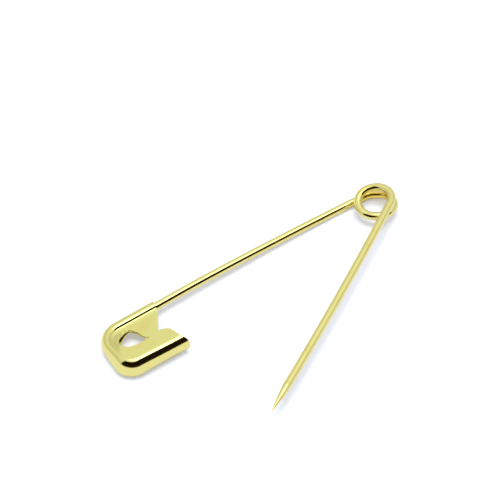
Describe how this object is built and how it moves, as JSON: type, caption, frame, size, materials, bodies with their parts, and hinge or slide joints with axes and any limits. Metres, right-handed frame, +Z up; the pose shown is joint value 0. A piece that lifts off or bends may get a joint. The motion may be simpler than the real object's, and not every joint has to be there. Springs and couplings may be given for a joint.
{
  "type": "safety pin",
  "caption": "Open safety pin: a sprung wire with a round coil, a fixed arm and a sharp needle arm, and a folded sheet clasp that catches and guards the point.",
  "frame": {"origin": "middle of the open pin's bounding box, on the table that it lies flat on", "axes": "+X along the fixed arm from the coil to the clasp, +Y to the side that the needle opens to, +Z up from the table"},
  "size_m": [0.057, 0.0318, 0.0046],
  "materials": {
    "clasp_brass": "polished",
    "fixed_arm_brass": "polished",
    "coil_brass": "polished",
    "needle_brass": "polished"
  },
  "bodies": {
    "clasp_and_arm": {"clasp_cap": "clasp_brass", "fixed_arm": "fixed_arm_brass"},
    "coil": {"spring_coil": "coil_brass"},
    "needle": {"needle_arm": "needle_brass"}
  },
  "joints": [
    {"name": "needle_swing", "type": "hinge", "parent": "clasp_and_arm", "child": "coil", "pos_m": [-0.02425, -0.01182, 0.00388], "axis": [-0.0205, 0.0682, 0.9975], "range_deg": [-30.6, 8], "stiffness_Nm_per_rad": 0.5, "deforming": ["spring_coil"]},
    {"name": "needle_hook", "type": "hinge", "parent": "coil", "child": "needle", "pos_m": [-0.02464, -0.00866, 0.00388], "axis": [-0.8114, -0.583, 0.0405], "range_deg": [-155.77, 0], "stiffness_Nm_per_rad": 0.001}
  ]
}
